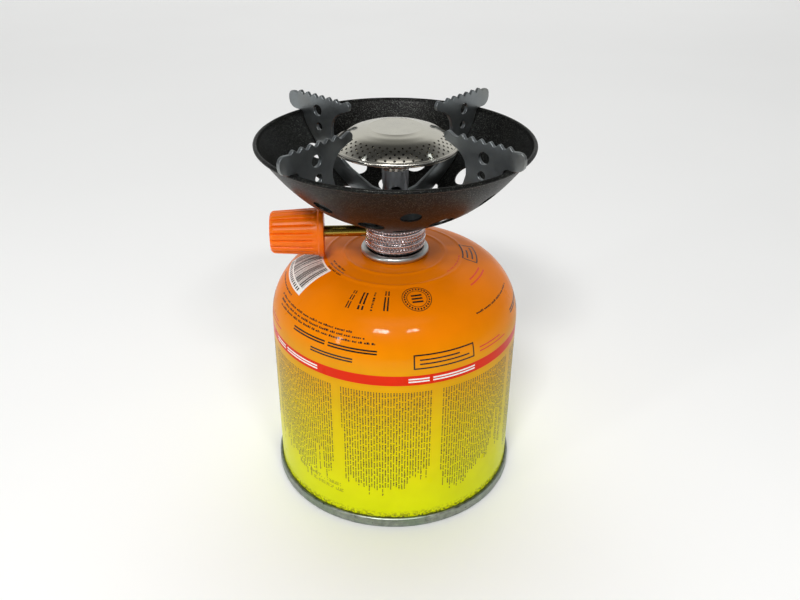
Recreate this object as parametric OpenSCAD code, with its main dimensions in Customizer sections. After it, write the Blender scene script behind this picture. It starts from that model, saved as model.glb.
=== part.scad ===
// Camping stove: screw-on burner with a wind bowl and four fixed pot supports,
// standing on a 500 g threaded gas cartridge.
// Millimetres, +Z up, origin on the floor under the cartridge axis.

/* [Cartridge] */
// Outside radius of the cartridge wall
can_r = 54; // [50:0.5:56]
// Sheet thickness of the cartridge
can_t = 0.5; // [0.3:0.1:0.8]
// Height at which the straight wall turns into the dome
can_wall_h = 79; // [60:1:100]
// Rise of the dome above the straight wall
dome_h = 28.6; // [26:0.1:30]
// Roundness of the dome shoulder
dome_p = 3.75; // [3:0.05:4.5]
// Outside radius of the bottom seam
seam_r = 55.4; // [55:0.1:57]
// Height of the bottom seam
seam_h = 4.8; // [3:0.1:6]
// Rise of the hollow base at its centre
base_rise = 11.5; // [8:0.5:16]

/* [Cartridge valve] */
// Radius of the centre line of the valve cup's rolled edge
curl_c = 13; // [12.9:0.1:13.4]
// Radius of the roll itself
curl_r = 1.5; // [1.5:0.05:1.6]
// Outside radius of the threaded stub, 7/16-28
stub_r = 5.55; // [5.5:0.01:5.6]
// Height of the stub's top above the floor
stub_top = 113.4; // [113:0.1:114]

/* [Valve body] */
// Outside radius of the knurled grip
grip_r = 13; // [12:0.1:14]
// Underside of the grip
grip_z0 = 110.6; // [110.6:0.1:111]
// Top of the grip, where the bowl sits
grip_z1 = 121.8; // [121:0.1:123]
// Radial clearance of the screw joint
thread_gap = 0.07; // [0.02:0.01:0.1]
// Height of the spindle axis
spindle_z = 117.3; // [117:0.1:118]

/* [Knob] */
// Radius of the flange at the knob's inner end
knob_flange_r = 10.7; // [10:0.1:10.7]
// Radius of the fluted body at its inner end
knob_r1 = 10; // [9:0.1:10.2]
// Radius of the fluted body at its outer end
knob_r2 = 8.9; // [8:0.1:9.5]
// Distance from the stove's axis to the knob's inner face
knob_x0 = 30; // [29:0.5:32]
// Length of the knob
knob_len = 22.4; // [20:0.2:24]
// Number of flutes around the knob
flutes = 18; // [12:1:24]

/* [Bowl] */
// Outside radius of the bowl at its rolled rim
bowl_r = 56.6; // [55:0.1:58]
// Height of the rim's top
bowl_top = 158; // [157:0.1:158.2]
// Sheet thickness of the bowl
bowl_t = 0.8; // [0.5:0.1:1]
// Radius of the flat ring in the bowl's bottom
bowl_r0 = 13.5; // [13:0.1:14]
// Number of large vent holes, with as many small and inner ones between them
vents = 8; // [4:1:8]
// Radius of a large vent hole
vent_r1 = 5.2; // [4:0.1:5.8]
// Radius of a small vent hole
vent_r2 = 4; // [3:0.1:4.5]
// Radius of an inner vent hole
vent_r3 = 4.2; // [3:0.1:4.5]

/* [Pot supports] */
// Sheet thickness of a pot support
arm_t = 1.5; // [1:0.1:2]
// Height of the tips that carry the pot
arm_top = 166.8; // [166:0.1:168]
// Distance between two teeth
tooth_p = 4.25; // [4:0.05:4.4]
// Height of a tooth
tooth_h = 1.5; // [1:0.1:2]

/* [Burner] */
// Outside radius of the burner head's rolled rim
head_r = 25.9; // [25:0.1:26.5]
// Height of the flat disc on top
head_top = 162.5; // [162:0.1:163]
// Outside radius of the mixing tube
tube_r = 5.5; // [5:0.1:5.6]
// Number of air holes in the mixing tube
air_holes = 4; // [2:1:6]

/* [Hidden] */
$fn = 96;

steel = [0.72, 0.74, 0.75];
zinc = [0.70, 0.73, 0.76];
brass = [0.80, 0.66, 0.32];
black = [0.08, 0.08, 0.08];

// Height of the dome's outer face at angle t of its rounded profile
function dome_r(t) = can_r * pow(cos(t), 2 / dome_p);
function ring(r, c) = 0.35 * exp(-pow((r - c) / 0.9, 2));
function dome_z(t) = can_wall_h + dome_h * sin(t)
  + ring(dome_r(t), 21.5) + ring(dome_r(t), 29.5);
function in_r(t) = (can_r - can_t) * pow(cos(t), 2 / dome_p);
function in_z(t) = can_wall_h + (dome_h - can_t) * sin(t);
lip_r = curl_c - 0.95;
t_lip = acos(pow(lip_r / can_r, dome_p / 2));
t_lip_in = acos(pow(lip_r / (can_r - can_t), dome_p / 2));
curl_z = can_wall_h + dome_h + 1.44;

// Drawn shell: straight wall, shoulder, dome and the lip that holds the valve cup
module cartridge_shell() {
  color([0.86, 0.62, 0.08])
    rotate_extrude() {
      polygon(concat(
        [[can_r, seam_h]],
        [for (i = [0:30]) let (t = i * 2) [dome_r(t), dome_z(t)]],
        [for (i = [1:50]) let (t = 60 + i * (t_lip - 60) / 50) [dome_r(t), dome_z(t)]],
        [for (i = [40:-1:0]) let (t = i * t_lip_in / 40) [in_r(t), in_z(t)]],
        [[can_r - can_t, seam_h]]));
      translate([lip_r, curl_z - 2.4]) square([0.5, 2.7]);
      translate([lip_r, curl_z - 0.15]) square([1.6, 0.45]);
    }
}

// Hollow base with the double seam that it is rolled onto the wall with
module cartridge_base() {
  color(steel)
    rotate_extrude()
      polygon(concat(
        [[seam_r - 0.5, 0], [seam_r - 0.15, 0.15], [seam_r, 0.5],
         [seam_r, seam_h - 0.9], [seam_r - 0.25, seam_h - 0.3],
         [seam_r - 0.8, seam_h]],
        [[can_r - 1.3, seam_h], [can_r - 1.7, seam_h + 1.2]],
        [for (i = [0:8]) let (a = i / 8, r = (can_r - 2.6) * (1 - a))
          [r, seam_h + 1.7 + (base_rise - seam_h - 1.7) * sin(90 * a) + 0.5]],
        [for (i = [8:-1:0]) let (a = i / 8, r = (can_r - 2.6) * (1 - a))
          [r, seam_h + 1.7 + (base_rise - seam_h - 1.7) * sin(90 * a)]],
        [[can_r - 2.2, seam_h + 0.8], [can_r - 1.9, 1.2],
         [can_r - 1.7, 0.3], [can_r - 1.4, 0]]));
}

// Valve cup: rolled edge over the lip, recess, floor and the threaded stub
module valve_cup() {
  color(steel)
    rotate_extrude()
      difference() {
        union() {
          translate([curl_c, curl_z]) circle(r = curl_r, $fn = 48);
          translate([curl_c - 1.85, 101.7]) square([0.5, curl_z - 101.7 + 0.6]);
          translate([stub_r - 0.9, 101.7]) square([curl_c - 1.5 - stub_r + 0.9, 0.5]);
          translate([stub_r - 0.9, 101.7]) square([0.9, stub_top - 101.7]);
          translate([2.2, stub_top - 0.5]) square([stub_r - 2.2, 0.5]);
        }
        translate([curl_c, curl_z]) circle(r = curl_r - 0.45, $fn = 48);
        translate([lip_r - 0.15, curl_z - 3]) square([0.8, 2.6]);
      }
}

// Flat ring in the rolled edge that seals the cup to the lip
module cup_gasket() {
  color(black)
    difference() {
      translate([0, 0, curl_z + 0.3]) cylinder(r = curl_c + 0.5, h = 0.45);
      translate([0, 0, curl_z]) cylinder(r = curl_c - 0.6, h = 2);
    }
}

// Rubber ring under the stub's top, closed by the plunger and tight on the pin
module stem_gasket() {
  color(black)
    difference() {
      translate([0, 0, stub_top - 1.7]) cylinder(r = 4.5, h = 1.15);
      translate([0, 0, stub_top - 2]) cylinder(r = 1.3, h = 2);
    }
}

// Plastic housing crimped inside the stub, with slots that let gas past
module valve_housing() {
  color([0.85, 0.85, 0.82])
    difference() {
      union() {
        translate([0, 0, 97]) cylinder(r = 4.1, h = stub_top - 1.75 - 97);
        translate([0, 0, 97]) cylinder(r = 5.2, h = 4.2);
      }
      translate([0, 0, 98.6]) cylinder(r = 3, h = 20);
      translate([0, 0, 96]) cylinder(r = 1.1, h = 4);
    }
}

// Plunger, held down by the actuator pin while the stove is screwed on
plunger_z = 106.6;
module valve_plunger() {
  color([0.8, 0.8, 0.78])
    difference() {
      union() {
        translate([0, 0, plunger_z]) cylinder(r = 2.7, h = 3.5);
        translate([0, 0, plunger_z - 2.4]) cylinder(r = 1.35, h = 3);
      }
      translate([0, 0, plunger_z + 3]) cylinder(r = 2.2, h = 1);
    }
}

// Point and frame along the spring's wire: flat end turns, open turns between
spring_z = 98.6;
wire_r = 0.25;
coil_r = 2.3;
function sz(u) = spring_z + wire_r + 0.02
  + (plunger_z - spring_z - 2 * wire_r - 0.04) * (u < 1 ? 0.07 * u : u > 5 ? 0.93 + 0.07 * (u - 5) : 0.07 + 0.86 * (u - 1) / 4);
module valve_spring() {
  n = 96; s = 8;
  pts = [for (i = [0:n], j = [0:s - 1])
    let (u = 6 * i / n, a = 360 * u, b = 360 * j / s, q = coil_r + wire_r * cos(b))
      [q * cos(a), q * sin(a), sz(u) + wire_r * sin(b)]];
  color(steel)
    polyhedron(points = pts, faces = concat(
      [[for (j = [0:s - 1]) j]],
      [for (i = [0:n - 1], j = [0:s - 1])
        [i * s + j, (i + 1) * s + j, (i + 1) * s + (j + 1) % s, i * s + (j + 1) % s]],
      [[for (j = [s - 1:-1:0]) n * s + j]]), convexity = 10);
}

// Seal in the top of the screw socket, pressed on the stub's rim
module stub_seal() {
  color(black)
    difference() {
      translate([0, 0, stub_top + 0.05]) cylinder(r = 5, h = 1.15);
      translate([0, 0, stub_top - 1]) cylinder(r = 2.5, h = 3);
    }
}

socket_top = stub_top + 1.25;
seat_x = -3.2;
tube_z0 = 124.2;
boss_r = 6.8;
boss_top = 128;

// Valve body: knurled grip, screw socket below, spindle bore in the side
module valve_body() {
  color(zinc)
    difference() {
      union() {
        rotate_extrude()
          polygon([[0, 105.6], [9.3, 105.6], [9.7, 106], [9.7, grip_z0 - 0.5],
            [11.2, grip_z0 - 0.5], [11.2, grip_z0], [grip_r - 1.2, grip_z0],
            [grip_r - 0.1, grip_z0 + 1.6], [grip_r - 0.1, grip_z0 + 2.1],
            [grip_r, grip_z0 + 2.3], [grip_r, grip_z0 + 4.0],
            [grip_r - 0.5, grip_z0 + 4.2], [grip_r - 0.5, grip_z0 + 4.9],
            [grip_r, grip_z0 + 5.1], [grip_r, grip_z0 + 8.9],
            [grip_r - 0.5, grip_z0 + 9.1], [grip_r - 0.5, grip_z0 + 9.7],
            [grip_r, grip_z0 + 9.9], [grip_r, grip_z1 - 0.3],
            [grip_r - 0.3, grip_z1], [0, grip_z1]]);
        translate([0, 0, grip_z1 - 1]) cylinder(r = boss_r, h = boss_top - grip_z1 + 1);
      }
      // screw socket for the stub
      translate([0, 0, 104]) cylinder(r = stub_r + thread_gap, h = socket_top - 104);
      // hole of the actuator pin
      translate([0, 0, 113]) cylinder(r = 1.1, h = 2.7);
      // slanted duct from the pin to the spindle chamber
      translate([-0.4, 0, 115.2]) rotate([0, -68, 0]) cylinder(r = 0.45, h = 4.6);
      // spindle bore, chamber and needle seat
      translate([-20, 0, spindle_z]) rotate([0, 90, 0]) cylinder(r = 3.6, h = 20 - 7.4);
      translate([-8, 0, spindle_z]) rotate([0, 90, 0]) cylinder(r = 2.4, h = 8 + seat_x);
      translate([seat_x - 1, 0, spindle_z]) rotate([0, 90, 0]) cylinder(r = 0.8, h = 1 - seat_x);
      // riser, jet seat and the socket of the mixing tube
      translate([0, 0, spindle_z]) cylinder(r = 0.8, h = 6);
      translate([0, 0, 120.6]) cylinder(r = 2.5, h = 8);
      translate([0, 0, tube_z0]) cylinder(r = tube_r, h = 8);
    }
}

// Hollow pin that opens the cartridge valve
module actuator_pin() {
  color(brass)
    difference() {
      union() {
        translate([0, 0, plunger_z + 3.05]) cylinder(r = 1.1, h = 115.7 - plunger_z - 3.05);
        translate([0, 0, stub_top + 0.1]) cylinder(r = 1.9, h = socket_top - stub_top - 0.1);
      }
      translate([0, 0, plunger_z + 4]) cylinder(r = 0.5, h = 10);
      translate([-3, 0, plunger_z + 4]) rotate([0, 90, 0]) cylinder(r = 0.35, h = 6);
    }
}

// Sintered disc below the jet
module gas_filter() {
  color([0.55, 0.5, 0.4])
    translate([0, 0, 120.6]) cylinder(r = 2.45, h = 1.2);
}

// Screw-in jet: threaded shank, hexagon and the fine orifice
module jet() {
  color(brass)
    difference() {
      union() {
        translate([0, 0, 121.9]) cylinder(r = 2.45, h = 2.4);
        translate([0, 0, 124.25]) cylinder(r = 3.6, h = 2.4, $fn = 6);
        translate([0, 0, 126.6]) cylinder(r = 1.8, h = 1.6);
      }
      translate([0, 0, 121]) cylinder(r = 1.3, h = 5.9);
      translate([0, 0, 121]) cylinder(r = 0.2, h = 9);
    }
}

// Threaded bush that guides the spindle, flush with the grip
module gland_bush() {
  color(brass)
    intersection() {
      translate([-14, 0, spindle_z]) rotate([0, 90, 0])
        difference() {
          cylinder(r = 3.55, h = 6.5);
          translate([0, 0, -1]) cylinder(r = 2.35 + 0.05, h = 9);
        }
      translate([0, 0, 100]) cylinder(r = grip_r - 0.1, h = 30);
    }
}

// Ring in the spindle's groove
oring_x = -6.6;
module spindle_oring() {
  color(black)
    translate([oring_x, 0, spindle_z]) rotate([0, 90, 0])
      rotate_extrude() translate([1.83, 0]) circle(r = 0.52, $fn = 32);
}

// Spindle: needle, groove, screw shank and the flat that drives the knob
module spindle() {
  color(brass)
    translate([0, 0, spindle_z]) rotate([0, -90, 0])
      difference() {
        rotate_extrude()
          polygon([[0, 2.15], [0.72, 3.15], [1.7, 4.05], [2.3, 4.5], [2.3, 5.95],
            [1.25, 5.95], [1.25, 7.25], [2.3, 7.25], [2.35, 7.6],
            [2.35, knob_x0 + 11.7], [2.05, knob_x0 + 12], [0, knob_x0 + 12]]);
        translate([1.5, -4, knob_x0 + 1]) cube([3, 8, 14]);
      }
}

// Knob with a flange, tapered fluted body and a shallow dished end
flute_a = atan((knob_r1 - knob_r2) / (knob_len - 4.2));
module knob() {
  color([0.93, 0.36, 0.06])
    translate([0, 0, spindle_z]) rotate([0, -90, 0])
      difference() {
        rotate_extrude()
          polygon([[0, knob_x0], [knob_flange_r - 0.4, knob_x0],
            [knob_flange_r, knob_x0 + 0.4], [knob_flange_r, knob_x0 + 1.8],
            [knob_flange_r - 0.3, knob_x0 + 2.2], [knob_r1 + 0.1, knob_x0 + 2.5],
            [knob_r1, knob_x0 + 3], [knob_r2, knob_x0 + knob_len - 1.2],
            [knob_r2 - 0.35, knob_x0 + knob_len - 0.4],
            [knob_r2 - 1.1, knob_x0 + knob_len], [knob_r2 - 2, knob_x0 + knob_len],
            [knob_r2 - 2.3, knob_x0 + knob_len - 0.8], [0, knob_x0 + knob_len - 0.8]]);
        for (i = [0:flutes - 1])
          rotate([0, 0, (i + 0.5) * 360 / flutes])
            translate([knob_r1 + 0.15, 0, knob_x0 + 2.7])
              rotate([0, -flute_a, 0]) cylinder(r = 0.85, h = knob_len, $fn = 24);
        // socket of the spindle with its flat
        intersection() {
          translate([0, 0, knob_x0 - 1]) cylinder(r = 2.37, h = 13.2);
          union() {
            translate([-5, -5, knob_x0 - 1]) cube([6.52, 10, 14]);
            translate([-5, -5, knob_x0 - 1]) cube([10, 10, 1.99]);
          }
        }
        // relief around the spindle in the inner face
        translate([0, 0, knob_x0 - 1]) cylinder(r = 4, h = 2);
      }
}

// Height of the bowl's outer face at radius r
function bowl_z(r) = grip_z1 + 0.55 * (r - bowl_r0)
  + 0.0058 * pow(max(0, r - 28), 2.3);
// Slope of that face, as an angle
function bowl_a(r) = atan((bowl_z(r + 0.05) - bowl_z(r - 0.05)) / 0.1);
bead_r = 0.9;
vent_turn = 4;
edge_r = bowl_r - bead_r - 0.5;

// Hole through the bowl's wall, square to its surface
module vent(r, a, hole) {
  rotate([0, 0, a]) translate([r, 0, bowl_z(r)])
    rotate([0, -bowl_a(r), 0]) translate([0, 0, -4]) cylinder(r = hole, h = 8, $fn = 48);
}

// Wind bowl with three rings of vents and a rolled rim
module bowl() {
  color([0.2, 0.2, 0.19])
    difference() {
      rotate_extrude() {
        polygon(concat(
          [[boss_r + 0.05, grip_z1], [bowl_r0, grip_z1]],
          [for (r = [bowl_r0 + 1:2.5:edge_r]) [r, bowl_z(r)]],
          [[edge_r, bowl_top - bead_r], [edge_r - bowl_t * 0.9, bowl_top - bead_r]],
          [for (i = [16:-1:0]) let (r = bowl_r0 + 0.6 + (edge_r - bowl_r0 - 1.6) * i / 16)
            [r - bowl_t * sin(bowl_a(r)), bowl_z(r) + bowl_t * cos(bowl_a(r))]],
          [[bowl_r0 - 0.2, grip_z1 + bowl_t], [boss_r + 0.05, grip_z1 + bowl_t]]));
        translate([bowl_r - bead_r, bowl_top - bead_r]) circle(r = bead_r, $fn = 32);
      }
      for (i = [0:vents - 1]) {
        vent(35.5, (i + 0.5) * 360 / vents + vent_turn, vent_r1);
        vent(44.3, i * 360 / vents + vent_turn, vent_r2);
        vent(24.3, i * 360 / vents + vent_turn, vent_r3);
      }
    }
}

// Ring that clamps the bowl and holds the pot supports' inner ends in slots
module support_hub() {
  color(zinc)
    difference() {
      translate([0, 0, grip_z1 + bowl_t]) cylinder(r = 10.5, h = 7);
      translate([0, 0, 120]) cylinder(r = boss_r + 0.02, h = boss_top - 120);
      translate([0, 0, 120]) cylinder(r = tube_r + 0.05, h = 20);
      for (a = [45, 135]) rotate([0, 0, a])
        translate([-15, -arm_t / 2 - 0.03, grip_z1 + bowl_t + 1.2]) cube([30, arm_t + 0.06, 10]);
    }
}

// Outline of a pot support: radius along x, height along y
tooth_r0 = 31.2;
arm_in = 7;
function tooth_z(r) = arm_top - tooth_h
  + tooth_h * pow(sin(180 * (r - tooth_r0) / tooth_p), 2);
function arm_low(r) = max(grip_z1 + bowl_t + 1.25, bowl_z(r) + 1.75);
module arm_outline() {
  difference() {
    polygon(concat(
      [[26.0, 162.9], [25.4, 163.5], [25, 164.4], [25.1, 165.3], [25.7, 166.2],
       [26.5, arm_top - 0.1], [27.5, arm_top - 0.1], [28.6, arm_top - 0.5], [29.8, arm_top - tooth_h + 0.2]],
      [for (k = [0:5], i = [0:7])
        let (r = tooth_r0 + tooth_p * (k + i / 8)) [r, tooth_z(r)]],
      [[56.8, 165.5], [58.4, 165.7], [60.2, 165.5], [61.3, 164.8], [61.8, 163.6],
       [61.9, 161.8], [61.4, 160.2], [60.4, 159], [59, 158.3], [57.5, 158.15],
       [54.2, 158.15], [53.6, 157.9], [53.1, 157.2]],
      [for (i = [0:20]) let (r = 51.6 - (51.6 - 11) * i / 20) [r, arm_low(r)]],
      [[arm_in + 0.4, arm_low(11)], [arm_in + 0.4, boss_top + 0.3], [5.9, boss_top + 0.3], [5.9, 133], [7, 133.2],
       [13.5, 133.6], [20, 136.2], [26, 138.7], [30, 141.2], [33, 144.6],
       [35, 148.2], [36, 151.5], [36, 154], [35.3, 156.5], [33.8, 158.9],
       [31.4, 160.8], [28.5, 162]]));
    translate([44, 160]) circle(r = 2.35, $fn = 32);
    translate([43.3, 153.1]) circle(r = 1.7, $fn = 32);
  }
}
module pot_support(a) {
  color(zinc)
    rotate([0, 0, a]) rotate([90, 0, 0]) translate([0, 0, -arm_t / 2])
      linear_extrude(height = arm_t) arm_outline();
}

// Mixing tube with its air holes above the jet
module burner_tube() {
  color(steel)
    difference() {
      translate([0, 0, tube_z0]) cylinder(r = tube_r, h = 148.6 - tube_z0);
      translate([0, 0, tube_z0 - 1]) cylinder(r = tube_r - 0.8, h = 40);
      for (i = [0:air_holes - 1])
        rotate([0, 0, i * 360 / air_holes]) translate([0, 0, 137])
          rotate([0, 90, 0]) cylinder(r = 2.2, h = 10, $fn = 32);
    }
}

// Lower half of the burner head, pressed on the tube, rim rolled over the cap
module burner_cup() {
  color(steel)
    rotate_extrude()
      difference() {
        union() {
          polygon([[tube_r, 145.6], [tube_r + 0.6, 145.6], [tube_r + 0.7, 147],
            [tube_r + 2, 147.9], [12, 149.4], [18, 151.3], [22, 152.9], [head_r - 1.2, 154.4],
            [head_r - 1.2, 155.3], [21.8, 153.6], [18, 152], [12, 150.1],
            [tube_r + 1.6, 148.7], [tube_r, 148]]);
          translate([head_r - 0.95, 155.15]) circle(r = 0.95, $fn = 32);
        }
        polygon([[23.2, 155.2], [24.85, 154.9], [24.85, 155.75], [23.2, 157.5]]);
      }
}

// Cap of the burner head: flat disc, smooth slope and the steep band of ports
cap_pts = [[11, head_top], [12.5, head_top - 0.25], [15.5, head_top - 0.95],
  [18.2, head_top - 1.75], [19.2, head_top - 2.25], [22, head_top - 4.4],
  [24.1, head_top - 6.3], [24.78, head_top - 7.15]];
module burner_cap() {
  color(steel)
    rotate_extrude()
      polygon(concat([[0, head_top]], cap_pts,
        [for (i = [len(cap_pts) - 1:-1:0]) [cap_pts[i][0] - (i > 2 ? 0.55 : 0.1), cap_pts[i][1] - (i > 5 ? 0.25 : 0.6)]],
        [[0, head_top - 0.6]]));
}

module pot_support_1() { pot_support(45); }
module pot_support_2() { pot_support(135); }
module pot_support_3() { pot_support(225); }
module pot_support_4() { pot_support(315); }

cartridge_shell();
cartridge_base();
valve_cup();
cup_gasket();
stem_gasket();
valve_housing();
valve_spring();
valve_plunger();
stub_seal();
valve_body();
actuator_pin();
gas_filter();
jet();
gland_bush();
spindle_oring();
spindle();
knob();
bowl();
support_hub();
pot_support_1();
pot_support_2();
pot_support_3();
pot_support_4();
burner_tube();
burner_cup();
burner_cap();
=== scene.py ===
import bpy, bmesh, math, random
from mathutils import Vector, Matrix


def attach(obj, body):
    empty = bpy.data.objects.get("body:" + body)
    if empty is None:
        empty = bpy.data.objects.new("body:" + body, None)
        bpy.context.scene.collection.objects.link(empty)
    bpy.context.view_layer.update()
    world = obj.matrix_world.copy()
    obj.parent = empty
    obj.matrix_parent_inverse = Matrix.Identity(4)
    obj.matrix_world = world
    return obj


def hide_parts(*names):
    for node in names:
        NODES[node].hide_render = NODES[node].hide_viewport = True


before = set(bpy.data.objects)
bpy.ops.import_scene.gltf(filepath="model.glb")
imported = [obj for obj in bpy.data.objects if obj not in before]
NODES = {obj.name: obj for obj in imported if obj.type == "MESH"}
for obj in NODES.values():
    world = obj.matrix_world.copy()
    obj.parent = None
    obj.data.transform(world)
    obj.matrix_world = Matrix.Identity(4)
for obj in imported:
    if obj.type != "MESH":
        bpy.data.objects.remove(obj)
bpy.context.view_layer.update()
MM = 0.001
random.seed(11)

# ---------------------------------------------------------------- camera
YAW = math.radians(-4.0)          # the knob points 4 degrees towards the camera
cam_data = bpy.data.cameras.new("camera")
cam_data.sensor_width = 36.0
cam_data.lens = 823.0 * 36.0 / 800.0
cam_data.clip_start = 0.01
cam_data.clip_end = 20.0
cam = bpy.data.objects.new("camera", cam_data)
bpy.context.scene.collection.objects.link(cam)
Rz = Matrix.Rotation(YAW, 4, "Z")
cam.matrix_world = (
    Rz @ Matrix.Translation(Vector((0.002378, -0.318, 0.265)))
    @ Matrix.Rotation(math.radians(90.0) - 0.52, 4, "X")
    @ Matrix.Rotation(0.009, 4, "Z"))
bpy.context.scene.camera = cam


# ---------------------------------------------------------------- helpers
def lin(r, g, b, a=1.0):
    f = lambda c: c / 12.92 if c <= 0.04045 else ((c + 0.055) / 1.055) ** 2.4
    return (f(r / 255.0), f(g / 255.0), f(b / 255.0), a)


def link_new(name, mesh):
    o = bpy.data.objects.new(name, mesh)
    bpy.context.scene.collection.objects.link(o)
    return o


def shade(o, angle=30.0):
    for p in o.data.polygons:
        p.use_smooth = True
    o.data.set_sharp_from_angle(angle=math.radians(angle))
    return o


def from_lists(name, verts, faces, angle=30.0, doubles=0.0):
    me = bpy.data.meshes.new(name)
    me.from_pydata([tuple(c * MM for c in v) for v in verts], [], faces)
    me.validate()
    if doubles:
        bm = bmesh.new(); bm.from_mesh(me)
        bmesh.ops.remove_doubles(bm, verts=bm.verts, dist=doubles * MM)
        bmesh.ops.recalc_face_normals(bm, faces=bm.faces)
        bm.to_mesh(me); bm.free()
    return shade(link_new(name, me), angle)


def rounded(pts, rad, n=4):
    """Closed outline with its corners rounded; rad is one number or one per corner."""
    out = []
    m = len(pts)
    for i in range(m):
        p = Vector(pts[i]); a = Vector(pts[i - 1]); b = Vector(pts[(i + 1) % m])
        r = rad[i] if isinstance(rad, (list, tuple)) else rad
        da, db = a - p, b - p
        if r <= 0 or da.length < 1e-6 or db.length < 1e-6:
            out.append(tuple(p)); continue
        ua, ub = da.normalized(), db.normalized()
        cosv = max(-1.0, min(1.0, ua.dot(ub)))
        half = math.acos(cosv) / 2
        if half > math.radians(86):
            out.append(tuple(p)); continue
        t = min(r / math.tan(half), 0.48 * da.length, 0.48 * db.length)
        p0, p2 = p + ua * t, p + ub * t
        for k in range(n + 1):
            s = k / n
            q = p0 * (1 - s) ** 2 + p * 2 * s * (1 - s) + p2 * s * s
            out.append(tuple(q))
    return out


def revolve(name, prof, n=192, angle=30.0, closed=True):
    """Solid of revolution about Z from (radius, height) points in mm."""
    verts, faces, rings = [], [], []
    for r, z in prof:
        if r < 1e-5:
            rings.append([len(verts)]); verts.append((0.0, 0.0, z))
        else:
            rings.append(list(range(len(verts), len(verts) + n)))
            for i in range(n):
                a = 2 * math.pi * i / n
                verts.append((r * math.cos(a), r * math.sin(a), z))
    m = len(prof)
    for k in range(m if closed else m - 1):
        A, B = rings[k], rings[(k + 1) % m]
        if len(A) == 1 and len(B) == 1:
            continue
        for i in range(n):
            j = (i + 1) % n
            if len(A) == 1:
                faces.append((A[0], B[j], B[i]))
            elif len(B) == 1:
                faces.append((A[i], A[j], B[0]))
            else:
                faces.append((A[i], A[j], B[j], B[i]))
    o = from_lists(name, verts, faces, angle)
    bm = bmesh.new(); bm.from_mesh(o.data)
    bmesh.ops.recalc_face_normals(bm, faces=bm.faces)
    bm.to_mesh(o.data); bm.free()
    return shade(o, angle)


def cut(o, cutters, angle=30.0):
    """Subtracts the cutters from o and removes them."""
    for c in cutters:
        md = o.modifiers.new("cut", "BOOLEAN")
        md.operation = "DIFFERENCE"; md.solver = "EXACT"; md.object = c
    dg = bpy.context.evaluated_depsgraph_get()
    me = bpy.data.meshes.new_from_object(o.evaluated_get(dg))
    old = o.data
    o.modifiers.clear(); o.data = me
    bpy.data.meshes.remove(old)
    for c in cutters:
        bpy.data.objects.remove(c)
    return shade(o, angle)


def rod(name, p0, p1, r, n=32):
    """Plain cylinder between two points in mm, used for cutting."""
    bm = bmesh.new()
    d = Vector(p1) - Vector(p0)
    bmesh.ops.create_cone(bm, cap_ends=True, segments=n, radius1=r * MM, radius2=r * MM, depth=d.length * MM)
    me = bpy.data.meshes.new(name)
    bm.to_mesh(me); bm.free()
    q = d.to_track_quat("Z", "Y").to_matrix().to_4x4()
    me.transform(Matrix.Translation((Vector(p0) + Vector(p1)) / 2 * MM) @ q)
    return link_new(name, me)


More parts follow.
